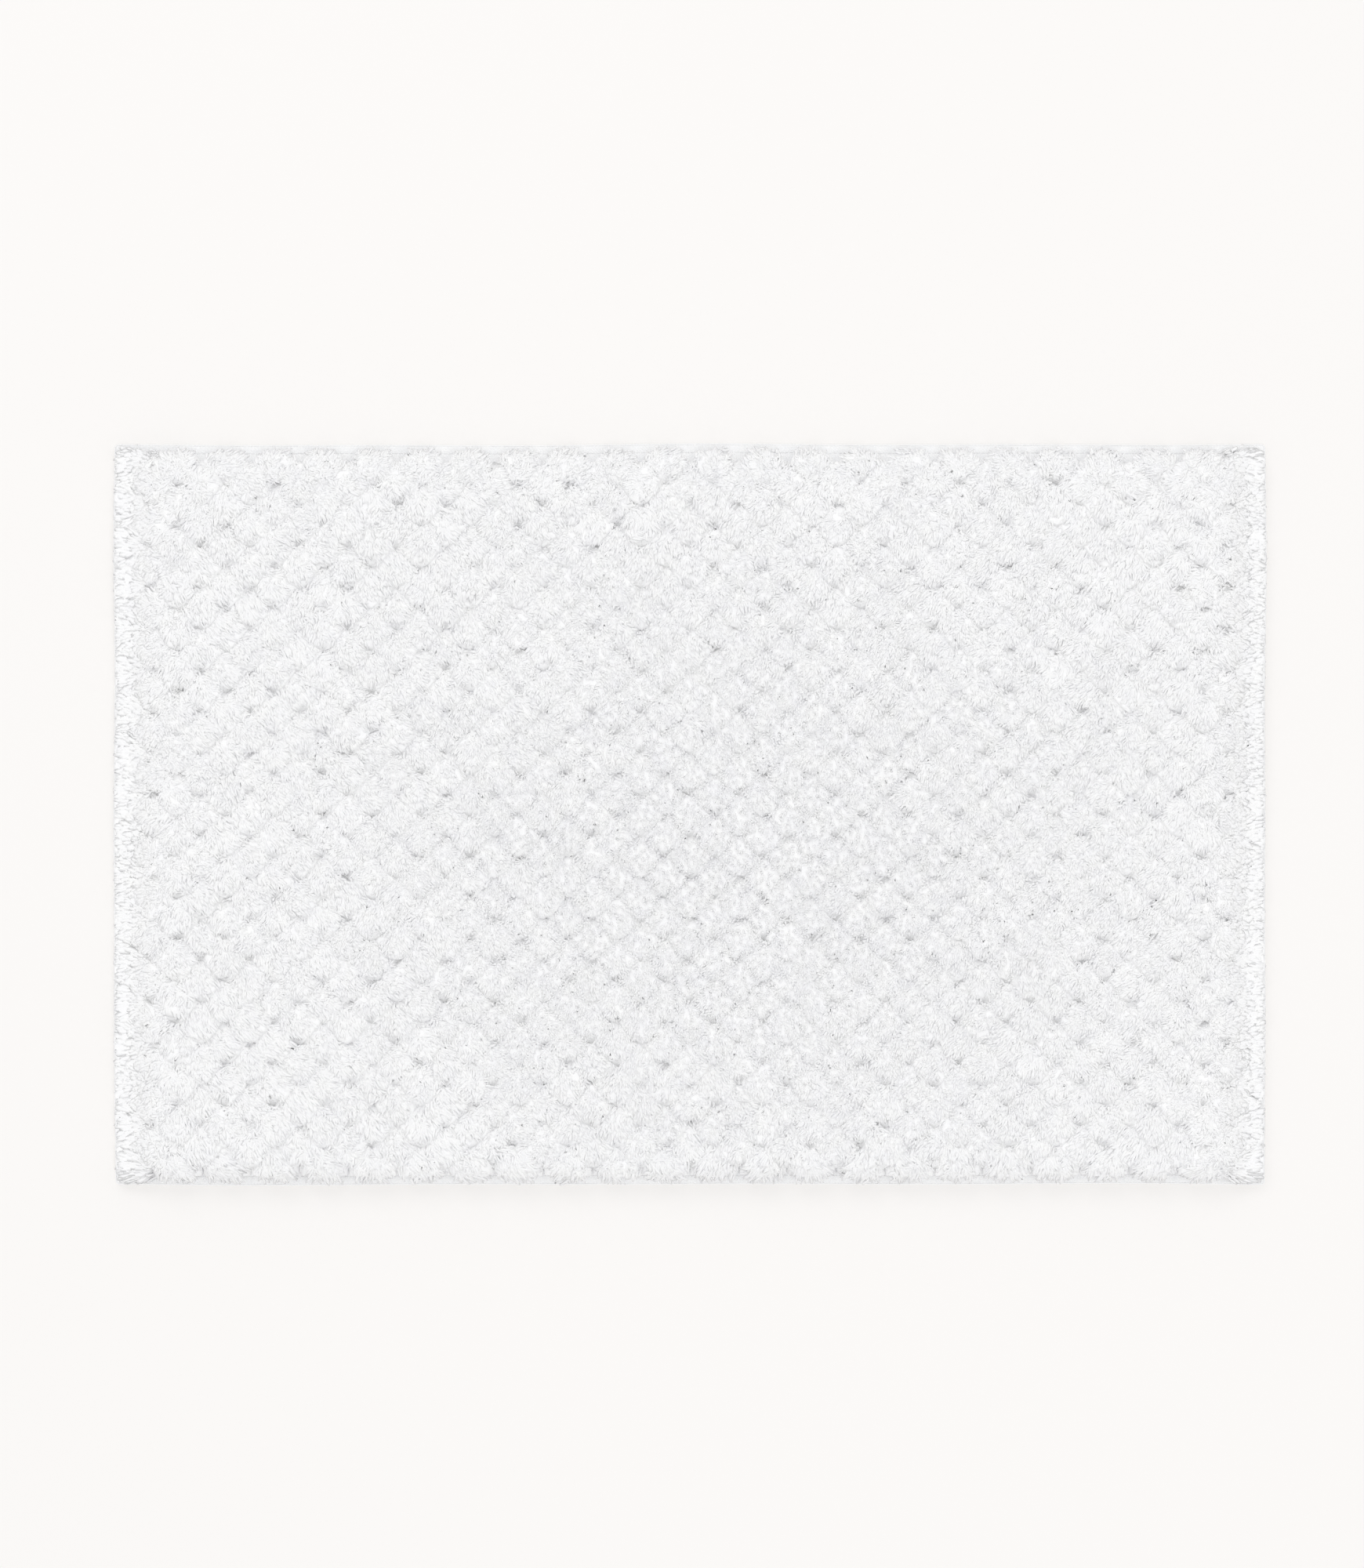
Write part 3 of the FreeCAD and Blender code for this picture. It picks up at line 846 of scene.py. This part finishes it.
def add_bump(tree, shader, height, strength, distance):
    """Fine relief from a height."""
    bump = tree.nodes.new("ShaderNodeBump")
    bump.inputs["Strength"].default_value = strength
    bump.inputs["Distance"].default_value = distance
    tree.links.new(height, bump.inputs["Height"])
    link(tree, bump, "Normal", shader, "Normal")


def add_shades(tree, shader, coordinates, scale, dark, light):
    """A faint procedural change of shade between two colours."""
    shade = tree.nodes.new("ShaderNodeTexNoise")
    shade.inputs["Scale"].default_value = scale
    shade.inputs["Detail"].default_value = 6
    ramp = tree.nodes.new("ShaderNodeValToRGB")
    for stop, position, colour in zip(ramp.color_ramp.elements, SHADE_RANGE, (dark, light)):
        stop.position = position
        stop.color = (*colour, 1)
    tree.links.new(coordinates, shade.inputs["Vector"])
    link(tree, shade, "Fac", ramp, "Fac")
    link(tree, ramp, "Color", shader, "Base Color")


def cotton_cloth():
    """Plain-woven cotton: warp and weft yarns that cross over and under in turn."""
    material, tree, shader = new_material("cotton_cloth", 0.9)
    shader.inputs["Specular IOR Level"].default_value = 0.2
    shader.inputs["Sheen Weight"].default_value = 0.15
    place = tree.nodes.new("ShaderNodeTexCoord").outputs["Object"]
    add_shades(tree, shader, place, *CLOTH_SHADES)
    axes = tree.nodes.new("ShaderNodeSeparateXYZ")
    tree.links.new(place, axes.inputs[0])
    turn = 2 * math.pi / WEAVE_PITCH
    over = maths(tree, "SINE", maths(tree, "MULTIPLY", axes.outputs[0], turn), 0)
    under = maths(tree, "SINE", maths(tree, "MULTIPLY", axes.outputs[1], turn), 0)
    height = maths(tree, "MULTIPLY", over, under)
    add_bump(tree, shader, height, *WEAVE_BUMP)
    return material


def sewing_thread():
    """Plied thread, its twist winding round the stitch."""
    material, tree, shader = new_material("sewing_thread", 0.7)
    shader.inputs["Specular IOR Level"].default_value = 0.3
    place = tree.nodes.new("ShaderNodeTexCoord")
    add_shades(tree, shader, place.outputs["Object"], *THREAD_SHADES)
    axes = tree.nodes.new("ShaderNodeSeparateXYZ")
    link(tree, place, "UV", axes, "Vector")
    slant = maths(tree, "MULTIPLY", axes.outputs[1], STITCH_TWIST)
    wound = maths(tree, "ADD", axes.outputs[0], slant)
    twist = maths(tree, "SINE", maths(tree, "MULTIPLY", wound, 2 * math.pi * UV_CELLS), 0)
    add_bump(tree, shader, twist, *TWIST_BUMP)
    return material


def latex():
    """Cured latex: off-white, a little shiny, with fine pores."""
    material, tree, shader = new_material("latex", 0.6)
    shader.inputs["Specular IOR Level"].default_value = 0.35
    place = tree.nodes.new("ShaderNodeTexCoord").outputs["Object"]
    add_shades(tree, shader, place, *LATEX_SHADES)
    pores = tree.nodes.new("ShaderNodeTexNoise")
    pores.inputs["Scale"].default_value = PORES_PER_METRE
    pores.inputs["Detail"].default_value = 3
    tree.links.new(place, pores.inputs["Vector"])
    add_bump(tree, shader, pores.outputs["Fac"], *PORE_BUMP)
    return material


# ---------------------------------------------------------------- the pieces, one by one

EDGES = ("front", "back", "left", "right")


def finish_piece(piece, material, node):
    """Give a piece its material and its body, and hide the CAD node that it stands for."""
    piece.data.materials.append(material)
    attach(piece, "root")
    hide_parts(node)
    return piece


def make_cloth(material):
    across = grid_lines(HALF_LENGTH, CLOTH_LINES, CLOTH_STEP)
    along = grid_lines(HALF_WIDTH, CLOTH_LINES, CLOTH_STEP)
    cloth = slab("ground_cloth_weave", across, along, cloth_top, cloth_bottom, lay_flat)
    return finish_piece(cloth, material, "ground_cloth")


def make_coat():
    low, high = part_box("latex_coat")
    across = np.linspace(low[0], high[0], round((high[0] - low[0]) / COAT_STEP[0]) + 1)
    along = np.linspace(low[1], high[1], round((high[1] - low[1]) / COAT_STEP[1]) + 1)
    coat = slab("latex_coat_film", across, along, coat_top, coat_bottom, lay_flat)
    return finish_piece(coat, latex(), "latex_coat")


def make_hems(material):
    return [finish_piece(hem_fold(edge), material, f"hem_{edge}") for edge in EDGES]


def make_stitches():
    material = sewing_thread()
    made = []
    for edge in EDGES:
        made.append(finish_piece(hem_stitches(edge), material, f"hem_thread_{edge}"))
    return made


def make_pile():
    material = cotton_pile()
    rows, neighbours = lattice()
    made = []
    for index, centres in enumerate(rows):
        row = tuft_row(index, centres, neighbours)
        made.append(finish_piece(row, material, f"pile_row_{index + 1:02d}"))
    return made


# ---------------------------------------------------------------- floor, light and camera

def make_floor():
    bpy.ops.mesh.primitive_plane_add(size=FLOOR_SIZE, location=(0, 0, FLOOR_HEIGHT))
    floor = bpy.context.object
    floor.name = "studio_floor"
    material, _, shader = new_material("studio_floor", 0.9)
    shader.inputs["Base Color"].default_value = FLOOR_COLOUR
    shader.inputs["Specular IOR Level"].default_value = 0.1
    floor.data.materials.append(material)


def area_light(name, place, size, power):
    data = bpy.data.lights.new(name, "AREA")
    data.shape = "RECTANGLE"
    data.size = size[0]
    data.size_y = size[1]
    data.energy = power
    lamp = bpy.data.objects.new(name, data)
    lamp.location = place
    towards_mat = -lamp.location
    lamp.rotation_euler = towards_mat.to_track_quat("-Z", "Y").to_euler()
    bpy.context.scene.collection.objects.link(lamp)


def make_light():
    world = bpy.data.worlds.new("studio")
    world.use_nodes = True
    world.node_tree.nodes["Background"].inputs["Color"].default_value = (1, 1, 1, 1)
    world.node_tree.nodes["Background"].inputs["Strength"].default_value = SKY_STRENGTH
    bpy.context.scene.world = world
    area_light("window", *WINDOW_LAMP)
    area_light("fill", *FILL_LAMP)
    # White cotton is bright because light bounces many times between its yarn ends.
    bpy.context.scene.cycles.diffuse_bounces = LIGHT_BOUNCES
    bpy.context.scene.cycles.max_bounces = LIGHT_BOUNCES
    bpy.context.scene.view_settings.view_transform = "Standard"


def make_camera():
    """Square on from above, with the mat a little below the middle of the view."""
    data = bpy.data.cameras.new("camera")
    data.lens = LENS
    data.sensor_fit = "HORIZONTAL"
    data.sensor_width = SENSOR_WIDTH
    camera = bpy.data.objects.new("camera", data)
    camera.location = (VIEW_CENTRE[0], VIEW_CENTRE[1], VIEW_WIDTH * LENS / SENSOR_WIDTH)
    bpy.context.scene.collection.objects.link(camera)
    bpy.context.scene.camera = camera


woven = cotton_cloth()
cloth = make_cloth(woven)
coat = make_coat()
hems = make_hems(woven)
stitches = make_stitches()
pile = make_pile()
make_floor()
make_light()
make_camera()
